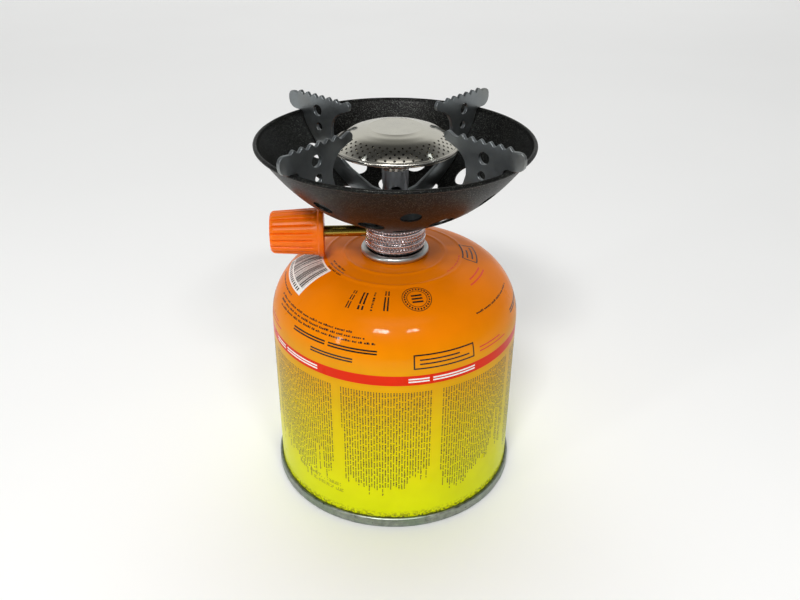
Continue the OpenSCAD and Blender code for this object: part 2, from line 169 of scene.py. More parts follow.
# ---------------------------------------------------------------- materials
class Mat:
    def __init__(self, name, color, rough, metal=0.0, **sockets):
        self.m = bpy.data.materials.new(name)
        self.m.use_nodes = True
        self.nt = self.m.node_tree
        self.b = self.nt.nodes["Principled BSDF"]
        self.b.inputs["Base Color"].default_value = color
        self.b.inputs["Roughness"].default_value = rough
        self.b.inputs["Metallic"].default_value = metal
        for k, v in sockets.items():
            self.b.inputs[k.replace("_", " ")].default_value = v
        self.tc = self.nt.nodes.new("ShaderNodeTexCoord")
        self.obj = self.tc.outputs["Object"]
        self.h = None

    def node(self, kind, **props):
        n = self.nt.nodes.new(kind)
        for k, v in props.items():
            setattr(n, k, v)
        return n

    def link(self, a, b):
        self.nt.links.new(a, b)

    def noise(self, scale, detail=3.0, rough=0.5, vec=None, stretch=None, dist=0.0):
        src = vec or self.obj
        if stretch:
            mp = self.node("ShaderNodeMapping")
            mp.inputs["Scale"].default_value = stretch
            self.link(src, mp.inputs["Vector"]); src = mp.outputs["Vector"]
        n = self.node("ShaderNodeTexNoise")
        n.inputs["Scale"].default_value = scale
        n.inputs["Detail"].default_value = detail
        n.inputs["Roughness"].default_value = rough
        n.inputs["Distortion"].default_value = dist
        self.link(src, n.inputs["Vector"])
        return n.outputs["Fac"]

    def voronoi(self, scale, vec=None, feature="F1", out="Distance"):
        n = self.node("ShaderNodeTexVoronoi", feature=feature)
        n.inputs["Scale"].default_value = scale
        self.link(vec or self.obj, n.inputs["Vector"])
        return n.outputs[out]

    def ramp(self, fac, stops, mode="LINEAR"):
        n = self.node("ShaderNodeValToRGB")
        n.color_ramp.interpolation = mode
        el = n.color_ramp.elements
        while len(el) < len(stops):
            el.new(0.5)
        for e, (p, c) in zip(el, stops):
            e.position = p
            e.color = c if isinstance(c, tuple) else (c, c, c, 1.0)
        self.link(fac, n.inputs["Fac"])
        return n.outputs["Color"]

    def mapr(self, fac, a, b, c, d):
        n = self.node("ShaderNodeMapRange")
        for k, v in zip(("From Min", "From Max", "To Min", "To Max"), (a, b, c, d)):
            n.inputs[k].default_value = v
        self.link(fac, n.inputs["Value"])
        return n.outputs["Result"]

    def math(self, op, a, b=None, c=None):
        n = self.node("ShaderNodeMath", operation=op)
        for i, v in enumerate((a, b, c)):
            if v is None:
                continue
            if isinstance(v, (int, float)):
                n.inputs[i].default_value = v
            else:
                self.link(v, n.inputs[i])
        return n.outputs[0]

    def mix(self, fac, a, b, blend="MIX"):
        n = self.node("ShaderNodeMix", data_type="RGBA", blend_type=blend)
        n.clamp_factor = True
        ins = [n.inputs[0], n.inputs[6], n.inputs[7]]
        for s, v in zip(ins, (fac, a, b)):
            if isinstance(v, (int, float, tuple)):
                s.default_value = v
            else:
                self.link(v, s)
        return n.outputs[2]

    def xyz(self):
        n = self.node("ShaderNodeSeparateXYZ")
        self.link(self.obj, n.inputs[0])
        return n.outputs[0], n.outputs[1], n.outputs[2]

    def radius(self, x=None, y=None):
        if x is None:
            x, y, _ = self.xyz()
        return self.math("SQRT", self.math("ADD", self.math("MULTIPLY", x, x), self.math("MULTIPLY", y, y)))

    def set(self, socket, value):
        self.link(value, self.b.inputs[socket])

    def bump(self, height, strength=0.3, dist_mm=0.1):
        n = self.node("ShaderNodeBump")
        n.inputs["Strength"].default_value = strength
        n.inputs["Distance"].default_value = dist_mm * MM
        self.link(height, n.inputs["Height"])
        if self.h is not None:
            self.link(self.h, n.inputs["Normal"])
        self.h = n.outputs["Normal"]
        self.link(self.h, self.b.inputs["Normal"])


def m_can():
    m = Mat("can_lacquer", lin(225, 130, 5), 0.4, 0.0,
            Coat_Weight=0.2, Coat_Roughness=0.06, Coat_IOR=1.45, Specular_IOR_Level=0.03)
    x, y, z = m.xyz()
    wob = m.noise(60.0, 2.0)
    h = m.mapr(z, 0.0, 0.110, 0.0, 1.0)
    Z = lambda mm: mm / 110.0
    col = m.ramp(h, [
        (Z(6), lin(222, 230, 0)), (Z(20), lin(226, 226, 0)), (Z(34), lin(226, 212, 0)),
        (Z(50), lin(224, 196, 0)), (Z(64), lin(222, 176, 2)), (Z(79), lin(228, 156, 2)),
        (Z(87), lin(236, 138, 0)), (Z(94), lin(236, 128, 0)), (Z(108), lin(228, 118, 0))])
    # the red band, with soft edges as printed
    lo = m.mapr(z, 0.07465, 0.07475, 0.0, 1.0)
    hi = m.mapr(z, 0.07925, 0.07935, 1.0, 0.0)
    band = m.math("MULTIPLY", lo, hi)
    col = m.mix(band, col, lin(222, 42, 6))
    # light mottling of the print, dust and rubbing near the foot
    mott = m.ramp(wob, [(0.35, 0.93), (0.65, 1.05)])
    col = m.mix(0.6, col, mott, "MULTIPLY")
    foot = m.mapr(z, 0.0045, 0.0085, 1.0, 0.0)
    grime = m.math("MULTIPLY", foot, m.ramp(m.noise(900.0, 4.0), [(0.45, 0.0), (0.6, 1.0)]))
    col = m.mix(grime, col, lin(70, 72, 30))
    m.set("Base Color", col)
    m.set("Roughness", m.mapr(m.noise(140.0, 4.0), 0.3, 0.7, 0.27, 0.40))
    m.bump(m.noise(330.0, 2.0), 0.12, 0.03)
    m.bump(m.noise(28.0, 1.0), 0.12, 0.4)
    return m.m


def m_ink(name, col, rough=0.4):
    m = Mat(name, col, rough, 0.0, Coat_Weight=0.4, Coat_Roughness=0.1, Specular_IOR_Level=0.1)
    n = m.noise(2500.0, 3.0)
    a = tuple(min(1.0, c * 1.25 + 0.01) for c in col[:3]) + (1.0,)
    m.set("Base Color", m.ramp(n, [(0.4, col), (0.7, a)]))
    return m.m


def m_tin(name, base=(150, 156, 148), rough=0.33, spots=True):
    m = Mat(name, lin(*base), rough, 1.0)
    cl = m.noise(420.0, 5.0, 0.6)
    big = m.noise(70.0, 3.0)
    c0 = lin(*[int(c * 0.82) for c in base]); c1 = lin(*[min(255, int(c * 1.12)) for c in base])
    col = m.ramp(cl, [(0.3, c0), (0.7, c1)])
    col = m.mix(m.ramp(big, [(0.45, 0.0), (0.65, 0.5)]), col, lin(int(base[0] * 0.86), int(base[1] * 0.96), int(base[2] * 0.86)))
    if spots:
        s = m.voronoi(260.0)
        dark = m.ramp(s, [(0.05, 1.0), (0.14, 0.0)])
        col = m.mix(m.math("MULTIPLY", dark, 0.55), col, lin(52, 50, 42))
    m.set("Base Color", col)
    m.set("Roughness", m.mapr(cl, 0.3, 0.7, rough - 0.08, rough + 0.14))
    m.bump(cl, 0.22, 0.06)
    return m.m


def m_zinc(name="zinc_plate", base=(140, 145, 147), rough=0.36, mott=1.0):
    m = Mat(name, lin(*base), rough, 1.0)
    cl = m.noise(110.0, 4.0, 0.6)
    fine = m.noise(2600.0, 3.0)
    sc = lambda k: lin(*[max(0, min(255, int(c * k))) for c in base])
    col = m.ramp(cl, [(0.3, sc(1 - 0.09 * mott)), (0.7, sc(1 + 0.07 * mott))])
    warm = m.noise(38.0, 2.0)
    col = m.mix(m.ramp(warm, [(0.55, 0.0), (0.75, 0.30 * mott)]), col, lin(150, 140, 116))
    col = m.mix(m.ramp(fine, [(0.62, 0.0), (0.72, 0.25)]), col, sc(1.25))
    m.set("Base Color", col)
    m.set("Roughness", m.mapr(m.math("ADD", cl, m.math("MULTIPLY", fine, 0.35)), 0.4, 0.95, rough - 0.05, rough + 0.12))
    m.bump(fine, 0.16, 0.02)
    return m.m


def m_grip():
    """Bright plated grip with a faint painted pink reflection of the orange cartridge; the grooves of the knurl are
    darkened with painted shade.
    """
    # the base colour and its ramp carry a faint pink tint: painted reflection of the orange cartridge
    m = Mat("grip_plated", lin(214, 208, 210), 0.24, 1.0)
    x, y, z = m.xyz()
    r = m.radius(x, y)
    n = m.noise(900.0, 3.0)
    col = m.ramp(n, [(0.3, lin(202, 192, 194)), (0.7, lin(226, 218, 218))])
    # painted shade: inside the knurled span, the grooves of the knurl (radius under 12.7 mm) are darkened to a dark
    # pinkish brown
    low = m.mapr(r, 0.01246, 0.01270, 1.0, 0.0)
    band = m.math("MULTIPLY", m.mapr(z, 0.11285, 0.11295, 0.0, 1.0), m.mapr(z, 0.12130, 0.12150, 1.0, 0.0))
    col = m.mix(m.math("MULTIPLY", low, m.math("MULTIPLY", band, 0.6)), col, lin(84, 66, 66))
    m.set("Base Color", col)
    m.set("Roughness", m.mapr(n, 0.3, 0.7, 0.19, 0.30))
    m.bump(n, 0.08, 0.01)
    return m.m


def m_stainless(name, base=(196, 193, 186), rough=0.16, brush=0.05, cloud=0.03):
    m = Mat(name, lin(*base), rough, 1.0)
    cl = m.noise(150.0, 4.0)
    x, y, z = m.xyz()
    r = m.radius(x, y)
    # faint turning marks around the axis
    comb = m.node("ShaderNodeCombineXYZ")
    m.link(m.math("MULTIPLY", r, 2600.0), comb.inputs[0])
    m.link(m.math("MULTIPLY", z, 2600.0), comb.inputs[1])
    turn = m.noise(1.0, 2.0, vec=comb.outputs[0])
    sc = lambda k: lin(*[max(0, min(255, int(c * k))) for c in base])
    col = m.ramp(cl, [(0.3, sc(1 - cloud)), (0.7, sc(1 + cloud))])
    col = m.mix(m.ramp(m.noise(900.0, 3.0), [(0.62, 0.0), (0.75, 0.25)]), col, sc(0.8))
    m.set("Base Color", col)
    m.set("Roughness", m.mapr(turn, 0.3, 0.7, max(0.03, rough - 0.03), rough + 0.05))
    m.bump(turn, brush, 0.006)
    return m.m


def m_brass(name="yellow_brass", base=(200, 166, 82), rough=0.24):
    m = Mat(name, lin(*base), rough, 1.0)
    cl = m.noise(240.0, 3.0, 0.5)
    iri = m.noise(90.0, 2.0)
    col = m.ramp(cl, [(0.3, lin(170, 146, 62)), (0.7, lin(178, 154, 70))])
    col = m.mix(m.ramp(iri, [(0.5, 0.0), (0.72, 0.15)]), col, lin(168, 172, 110))
    m.set("Base Color", col)
    m.set("Roughness", m.mapr(cl, 0.3, 0.7, rough - 0.02, rough + 0.04))
    return m.m


def m_bowl():
    m = Mat("bowl_enamel", lin(14, 14, 14), 0.38, 0.0, IOR=1.32, Specular_IOR_Level=0.2)
    fine = m.noise(1900.0, 4.0, 0.65)
    spec = m.voronoi(5600.0, out="Color")
    sep = m.node("ShaderNodeSeparateColor")
    m.link(spec, sep.inputs[0])
    flake = m.ramp(sep.outputs[0], [(0.86, 0.0), (0.98, 1.0)])
    col = m.ramp(m.noise(90.0, 3.0), [(0.35, lin(11, 11, 11)), (0.7, lin(17, 17, 15))])
    col = m.mix(m.math("MULTIPLY", flake, 0.7), col, lin(112, 114, 108))
    m.set("Base Color", col)
    m.set("Metallic", m.math("MULTIPLY", flake, 0.7))
    m.set("Roughness", m.mapr(fine, 0.3, 0.7, 0.28, 0.46))
    m.bump(fine, 0.34, 0.035)
    m.bump(m.noise(420.0, 2.0), 0.10, 0.05)
    return m.m


def m_knob():
    m = Mat("knob_plastic", lin(246, 112, 0), 0.36, 0.0, Specular_IOR_Level=0.28)
    n = m.noise(160.0, 3.0)
    g = m.noise(4200.0, 2.0)
    m.set("Base Color", m.ramp(n, [(0.3, lin(243, 108, 0)), (0.7, lin(249, 118, 0))]))
    m.set("Roughness", m.mapr(g, 0.3, 0.7, 0.32, 0.42))
    m.bump(g, 0.06, 0.012)
    return m.m


def m_plain(name, col, rough, metal=0.0, scale=600.0, amount=0.12, bump=0.15):
    m = Mat(name, col, rough, metal)
    n = m.noise(scale, 4.0)
    lo = tuple(c * (1 - amount) for c in col[:3]) + (1.0,)
    hi = tuple(min(1.0, c * (1 + amount) + 0.004) for c in col[:3]) + (1.0,)
    m.set("Base Color", m.ramp(n, [(0.3, lo), (0.7, hi)]))
    m.set("Roughness", m.mapr(n, 0.3, 0.7, max(0.05, rough - 0.06), min(1.0, rough + 0.1)))
    m.bump(n, bump, 0.03)
    return m.m


MAT = {
    "can": m_can(),
    "ink": m_ink("ink_dark", lin(66, 50, 18)),
    "ink_black": m_ink("ink_black", lin(24, 20, 14)),
    "ink_white": m_ink("ink_white", lin(238, 236, 228)),
    "ink_red": m_ink("ink_red", lin(214, 60, 26)),
    "tin": m_tin("seam_tinplate"),
    "cup": m_zinc("cup_tinplate", (200, 204, 202), 0.36, 0.3),
    "zinc": m_zinc(),
    "grip": m_grip(),
    "steel": m_stainless("burner_stainless", (208, 204, 194), 0.27),
    "steel_cap": m_stainless("cap_stainless", (216, 212, 200), 0.12, 0.02, 0.015),
    "tube": m_stainless("tube_chrome", (158, 160, 164), 0.42, 0.02),
    "brass": m_brass(),
    "bowl": m_bowl(),
    "knob": m_knob(),
    "rubber": m_plain("rubber_black", lin(22, 22, 22), 0.65),
    "housing": m_plain("valve_acetal", lin(222, 220, 210), 0.45),
    "spring": m_plain("spring_wire", lin(150, 150, 150), 0.3, 1.0, 900.0),
    "sinter": m_plain("sintered_bronze", lin(140, 112, 66), 0.6, 1.0, 3500.0, 0.3, 0.6),
}


def give(o, key):
    o.data.materials.clear()
    o.data.materials.append(MAT[key])
    return o


# ---------------------------------------------------------------- cartridge
CAN_R, WALL, DOME, DP, CAN_T, SEAM_H = 54.0, 79.0, 28.6, 3.75, 0.5, 4.8
CURL_C, CURL_R = 13.0, 1.5
CURL_Z = WALL + DOME + 1.44
LIP_R = CURL_C - 0.95


def ripple(r):
    return 0.35 * math.exp(-((r - 21.5) / 0.9) ** 2) + 0.35 * math.exp(-((r - 29.5) / 0.9) ** 2)


def dome(t, rr=CAN_R, hh=DOME):
    """Point of the dome's profile at angle t, as (radius, height)."""
    r = rr * max(0.0, math.cos(t)) ** (2 / DP)
    return r, WALL + hh * math.sin(t)


T_LIP = math.acos((LIP_R / CAN_R) ** (DP / 2))
T_LIP_IN = math.acos((LIP_R / (CAN_R - CAN_T)) ** (DP / 2))
DOME_T = []
k = 0
while k <= 260:
    s = k / 260
    DOME_T.append(T_LIP * (1 - (1 - s) ** 1.6) if s < 1 else T_LIP)
    k += 1
DOME_PTS = []
for t in DOME_T:
    r, z = dome(t)
    DOME_PTS.append((r, z + ripple(r)))
# arc length along the profile, measured so that it equals the height on the wall
ARC = [WALL]
for a, b in zip(DOME_PTS, DOME_PTS[1:]):
    ARC.append(ARC[-1] + math.hypot(b[0] - a[0], b[1] - a[1]))


def can_point(az, v, off=0.0):
    """Point on the cartridge: azimuth in degrees, arc length v in mm, offset along the normal."""
    if v <= WALL:
        r, z, nr, nz = CAN_R, v, 1.0, 0.0
    else:
        lo, hi = 0, len(ARC) - 1
        while hi - lo > 1:
            mid = (lo + hi) // 2
            if ARC[mid] <= v:
                lo = mid
            else:
                hi = mid
        s = (v - ARC[lo]) / max(1e-9, ARC[hi] - ARC[lo])
        s = max(0.0, min(1.0, s))
        (r0, z0), (r1, z1) = DOME_PTS[lo], DOME_PTS[hi]
        r, z = r0 + (r1 - r0) * s, z0 + (z1 - z0) * s
        dl = math.hypot(r1 - r0, z1 - z0)
        nr, nz = (z1 - z0) / dl, -(r1 - r0) / dl
    r += nr * off; z += nz * off
    a = math.radians(az)
    return (r * math.cos(a), r * math.sin(a), z), r


def make_shell():
    prof = [(CAN_R, SEAM_H), (CAN_R, 12.0), (CAN_R, 25.0), (CAN_R, 40.0), (CAN_R, 55.0), (CAN_R, 68.0), (CAN_R, 76.0)]
    prof += DOME_PTS[:-1]
    prof += [(LIP_R + 0.5, DOME_PTS[-1][1]), (LIP_R + 0.5, CURL_Z - 0.2), (LIP_R + 1.6, CURL_Z - 0.15),
             (LIP_R + 1.6, CURL_Z + 0.3), (LIP_R, CURL_Z + 0.3), (LIP_R, CURL_Z - 2.4)]
    for i in range(40, -1, -1):
        r, z = dome(T_LIP_IN * i / 40, CAN_R - CAN_T, DOME - CAN_T)
        if r > LIP_R + 0.05:
            prof.append((r, z))
    prof.append((CAN_R - CAN_T, SEAM_H))
    o = revolve("can_shell", prof, 288, 40)
    give(o, "can")
    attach(o, "cartridge"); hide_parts("cartridge_shell")


def make_base():
    H = SEAM_H
    out = rounded([(54.9, 0.0), (55.4, 0.55), (55.42, 1.6), (55.22, 2.5), (55.42, 3.4), (55.3, 4.4), (54.75, H), (54.0, H - 0.05)], 0.45, 4)
    out = [p for p in out]
    inn = [(52.7, H), (52.3, H + 1.2)]
    cup = []
    for i in range(25):
        a = i / 24
        cup.append((51.4 * (1 - a), H + 1.7 + (11.5 - H - 1.7) * math.sin(math.pi / 2 * a)))
    top = [(r, z + 0.5) for r, z in cup]
    prof = out + inn + top + cup[::-1] + [(51.8, H + 0.8), (52.1, 1.2), (52.4, 0.3), (52.8, 0.0)]
    o = revolve("can_base", prof, 288, 35)
    give(o, "tin")
    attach(o, "cartridge"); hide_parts("cartridge_base")


def make_cup():
    n = 40
    prof = []
    # outside of the roll, from its lower outer edge over the top to the recess wall
    for i in range(n + 1):
        a = math.radians(-100 + (180 + 100 - 8) * i / n)
        prof.append((CURL_C + CURL_R * math.cos(a), CURL_Z + CURL_R * math.sin(a)))
    w = CURL_C - 1.85
    prof += [(w, 108.2), (w, 103.0), (w - 0.35, 102.3), (w - 0.95, 102.2), (7.0, 102.2), (6.1, 102.4), (5.55, 103.2),
             (5.55, 112.9), (5.2, 113.4), (2.2, 113.4), (2.2, 112.9), (4.65, 112.9), (4.65, 101.7),
             (w - 0.55, 101.7), (w + 0.25, 102.2), (w + 0.5, 103.0), (w + 0.5, 108.6)]
    for i in range(n + 1):
        a = math.radians(172 - (180 + 100 - 8) * i / n)
        prof.append((CURL_C + 1.05 * math.cos(a), CURL_Z + 1.05 * math.sin(a)))
    o = revolve("valve_cup_steel", prof, 160, 40)
    give(o, "cup")
    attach(o, "cartridge"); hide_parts("valve_cup")


# ---------------------------------------------------------------- print on the cartridge
class Ink:
    """Thin print made of small patches that follow the cartridge's surface."""

    def __init__(self, off):
        self.v, self.f, self.off = [], [], off

    def patch(self, az0, az1, v0, v1, off=None):
        off = self.off if off is None else off
        rm = can_point(0, (v0 + v1) / 2)[1]
        nu = max(1, int(math.ceil(abs(az1 - az0) * math.pi / 180 * rm / 1.6)))
        nv = 1 if max(v0, v1) <= WALL else max(1, int(math.ceil(abs(v1 - v0) / 1.2)))
        base = len(self.v)
        for j in range(nv + 1):
            for i in range(nu + 1):
                self.v.append(can_point(az0 + (az1 - az0) * i / nu, v0 + (v1 - v0) * j / nv, off)[0])
        for j in range(nv):
            for i in range(nu):
                a = base + j * (nu + 1) + i
                self.f.append((a, a + 1, a + nu + 2, a + nu + 1))

    def around(self, az0, az1, v, h, words=(2.2, 6.0), gap=0.9, rng=None, glyph=0.0):
        """A line of blocks that runs around the can, from az0 to az1."""
        r = can_point(0, v)[1]
        deg = 180 / math.pi / r
        a = az0
        while a < az1 - 0.5 * deg:
            w = rng.uniform(*words) * deg
            e = min(az1, a + w)
            if glyph:
                b = a
                while b < e:
                    g = rng.uniform(0.6, 1.25) * glyph * deg
                    hh = h * rng.choice((0.72, 0.72, 0.78, 1.0))
                    self.patch(b, min(e, b + g), v - h / 2, v - h / 2 + hh)
                    b += g + 0.28 * glyph * deg
            else:
                self.patch(a, e, v - h / 2, v + h / 2)
            a = e + gap * deg

    def frame(self, az0, az1, v0, v1, t):
        """Outlined rectangle with lines t wide."""
        d = t * 180 / math.pi / can_point(0, (v0 + v1) / 2)[1]
        self.patch(az0, az1, v0, v0 + t)
        self.patch(az0, az1, v1 - t, v1)
        self.patch(az0, az0 + d, v0 + t, v1 - t)
        self.patch(az1 - d, az1, v0 + t, v1 - t)

    def along(self, az, v0, v1, w, words=(1.3, 4.6), gap=0.7, rng=None, glyph=0.0):
        """A line of blocks that runs up the can, from v0 up to v1, starting at the top."""
        v = v1
        while v > v0 + 0.5:
            r = can_point(0, v)[1]
            deg = 180 / math.pi / r
            e = max(v0, v - rng.uniform(*words))
            if glyph:
                b = v
                while b > e:
                    g = rng.uniform(0.6, 1.3) * glyph
                    ww = w * rng.choice((0.7, 0.7, 0.8, 1.0))
                    self.patch(az - w / 2 * deg, az - w / 2 * deg + ww * deg, max(e, b - g), b)
                    b -= g + 0.3 * glyph
            else:
                self.patch(az - w / 2 * deg, az + w / 2 * deg, e, v)
            v = e - gap

    def ring(self, az, v, r0, r1, n=64):
        """A plain ring drawn on the surface, centred at az, v."""
        rm = can_point(0, v)[1]
        base = len(self.v)
        for i in range(n):
            a = 2 * math.pi * i / n
            for rr in (r0, r1):
                vv = v + rr * math.sin(a)
                rl = can_point(0, vv)[1]
                self.v.append(can_point(az + math.degrees(rr * math.cos(a) / rl), vv, self.off)[0])
        for i in range(n):
            j = (i + 1) % n
            self.f.append((base + 2 * i, base + 2 * i + 1, base + 2 * j + 1, base + 2 * j))

    def build(self, name, key):
        o = from_lists(name, self.v, self.f, 60)
        bm = bmesh.new(); bm.from_mesh(o.data)
        for f in bm.faces:
            c = f.calc_center_median()
            if f.normal.dot(Vector((c.x, c.y, 0.02))) < 0:
                f.normal_flip()
        bm.to_mesh(o.data); bm.free()
        give(o, key)
        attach(o, "cartridge")
        return o


def make_print():
    rng = random.Random(5)
    small = Ink(0.03)      # columns of filler lines below the band
    for c in range(8):
        a0 = -162.5 + 45.0 * c
        width = 40.5 if c % 2 else 41.0
        lines = 33
        for i in range(lines):
            az = a0 + width * (i + 0.5) / lines
            frac = i / (lines - 1)
            bottom = 24.0 + 5.0 * math.cos(frac * 5.0 + c) + rng.uniform(-3.5, 3.5)
            top = 71.3
            if rng.random() < 0.06:
                bottom += rng.uniform(8, 22)
            if i in (0, lines - 1):
                bottom += 5
            small.along(az, bottom, top, 0.60, (1.6, 5.4), 0.75, rng, 0.62)
    # date line: two short rows of dots near the foot
    for row in range(2):
        for i in range(34):
            if rng.random() < 0.26:
                continue
            az = -137.0 + i * 0.58 + row * 0.7
            v0 = 20.9 - 2.9 * row - i * 0.045
            for d in range(3):
                if rng.random() < 0.72:
                    small.patch(az, az + 0.34, v0 - d * 0.62 - 0.36, v0 - d * 0.62)
    small.build("print_small", "ink")

    big = Ink(0.035)
    # two rows of bold filler above the band
    for turn in range(3):
        o = 120.0 * turn
        for (a0, a1) in ((-145.0, -125.4), (-123.8, -101.0)):
            big.patch(a0 + o, a1 + o, 88.1, 88.75)
            big.patch(a0 + o, a1 + o, 89.25, 89.9)
        big.patch(-132.6 + o, -111.5 + o, 83.7, 84.35)
        big.patch(-132.6 + o, -111.5 + o, 84.85, 85.5)
        # plain emblem: an outlined plate with two lines in it
        big.frame(-85.5 + o, -57.0 + o, 82.0, 88.2, 0.6)
        big.patch(-82.8 + o, -59.7 + o, 83.9, 84.5)
        big.patch(-82.8 + o, -64.5 + o, 85.6, 86.2)
    # rows of fine filler on the shoulder
    for k in range(3):
        big.around(-166.0 + 2 * k, -112.0 + 5 * k, 95.9 - 1.75 * k, 0.85, (1.6, 5.0), 0.7, rng, 0.75)
    big.around(-50.0, -14.0, 98.2, 0.8, (1.6, 5.0), 0.7, rng, 0.75)
    big.around(20.0, 74.0, 96.5, 0.85, (1.6, 5.0), 0.7, rng, 0.75)
    big.around(20.0, 70.0, 94.8, 0.85, (1.6, 5.0), 0.7, rng, 0.75)
    # filler that reads outwards on the top
    def column(az, v0, v1, w, cuts):
        """Two thin parallel lines that run outwards, broken at the given heights."""
        edges = [v1] + sorted(cuts, reverse=True) + [v0]
        d = 180 / math.pi / can_point(0, (v0 + v1) / 2)[1]
        for top, low in zip(edges, edges[1:]):
            for q in (-1, 1):
                c = az + q * w * 0.32 * d
                big.patch(c - w * 0.15 * d, c + w * 0.15 * d, low + 0.35, top - 0.35)

    column(-120.0, 104.6, 114.2, 1.6, (108.6, 111.8))
    column(-112.6, 105.0, 114.2, 2.4, (107.6,))
    big.along(-106.3, 105.4, 114.6, 0.8, (1.2, 2.6), 0.55, rng, 0.7)
    column(-98.4, 105.6, 116.2, 2.0, (113.0,))
    # a plain double ring with three bars in it
    big.ring(-79.6, 111.4, 5.75, 6.05)
    big.ring(-79.6, 111.4, 3.95, 4.2)
    for k in range(26):
        a = 2 * math.pi * k / 26
        r = 5.0
        vv = 111.4 + r * math.sin(a)
        rl = can_point(0, vv)[1]
        az = -79.6 + math.degrees(r * math.cos(a) / rl)
        d = math.degrees(0.32 / rl)
        big.patch(az - d, az + d, vv - 0.42, vv + 0.42)
    for k in (-1, 0, 1):
        rl = can_point(0, 111.4 + k * 1.5)[1]
        d = math.degrees(2.2 / rl)
        big.patch(-79.6 - d, -79.6 + d, 111.4 + k * 1.6 - 0.4, 111.4 + k * 1.6 + 0.4)
    # second plate, on the right of the dome
    big.frame(-13.0, 13.0, 112.6, 119.6, 0.6)
    big.patch(-9.5, 9.5, 114.6, 115.3)
    big.patch(-9.5, 4.0, 116.8, 117.5)
    # small filler beside the bar patch
    for k in range(3):
        big.around(-166.0 + 3 * k, -141.0, 121.8 - 1.7 * k, 0.8, (1.4, 3.4), 0.6, rng, 0.7)
    big.around(-184.0, -158.0, 98.4, 0.8, (1.4, 3.4), 0.6, rng, 0.7)
    big.build("print_bold", "ink_black")

    # white patch with plain bars of different widths
    white = Ink(0.02)
    white.patch(-192.0, -152.5, 100.6, 117.6)
    wr = random.Random(9)
    for turn in range(5):
        o = 72.0 * turn
        for (a0, a1) in ((-87.6, -78.6), (-77.0, -56.6)):
            white.patch(a0 + o, a1 + o, 76.05, 76.7)
            white.patch(a0 + o, a1 + o, 77.3, 77.95)
    white.build("print_white", "ink_white")
    bars = Ink(0.05)
    a = -190.5
    while a < -154.6:
        w = wr.choice((0.28, 0.5, 0.8, 1.1))
        bars.patch(a, a + w, 103.6, 116.8)
        a += w + wr.choice((0.35, 0.55, 0.85))
    a = -189.5
    while a < -156.0:
        bars.patch(a, a + 1.1, 101.3, 102.8)
        a += 2.2 + wr.choice((0.0, 0.4))
    bars.build("print_bars", "ink_black")

    red = Ink(0.035)
    for turn in range(3):
        o = 120.0 * turn
        red.patch(-53.8 + o, -35.2 + o, 82.9, 83.5)
        red.patch(-53.8 + o, -39.5 + o, 84.6, 85.2)
    red.patch(-40.0, -17.5, 109.0, 109.7)
    red.patch(-36.0, -17.5, 111.2, 111.9)
    red.around(-42.0, -6.0, 121.0, 0.7, (1.4, 3.4), 0.6, wr, 0.7)
    red.build("print_red", "ink_red")


# ---------------------------------------------------------------- valve body
GZ0, GZ1, GR = 110.6, 121.8, 13.0
SPZ = 117.3


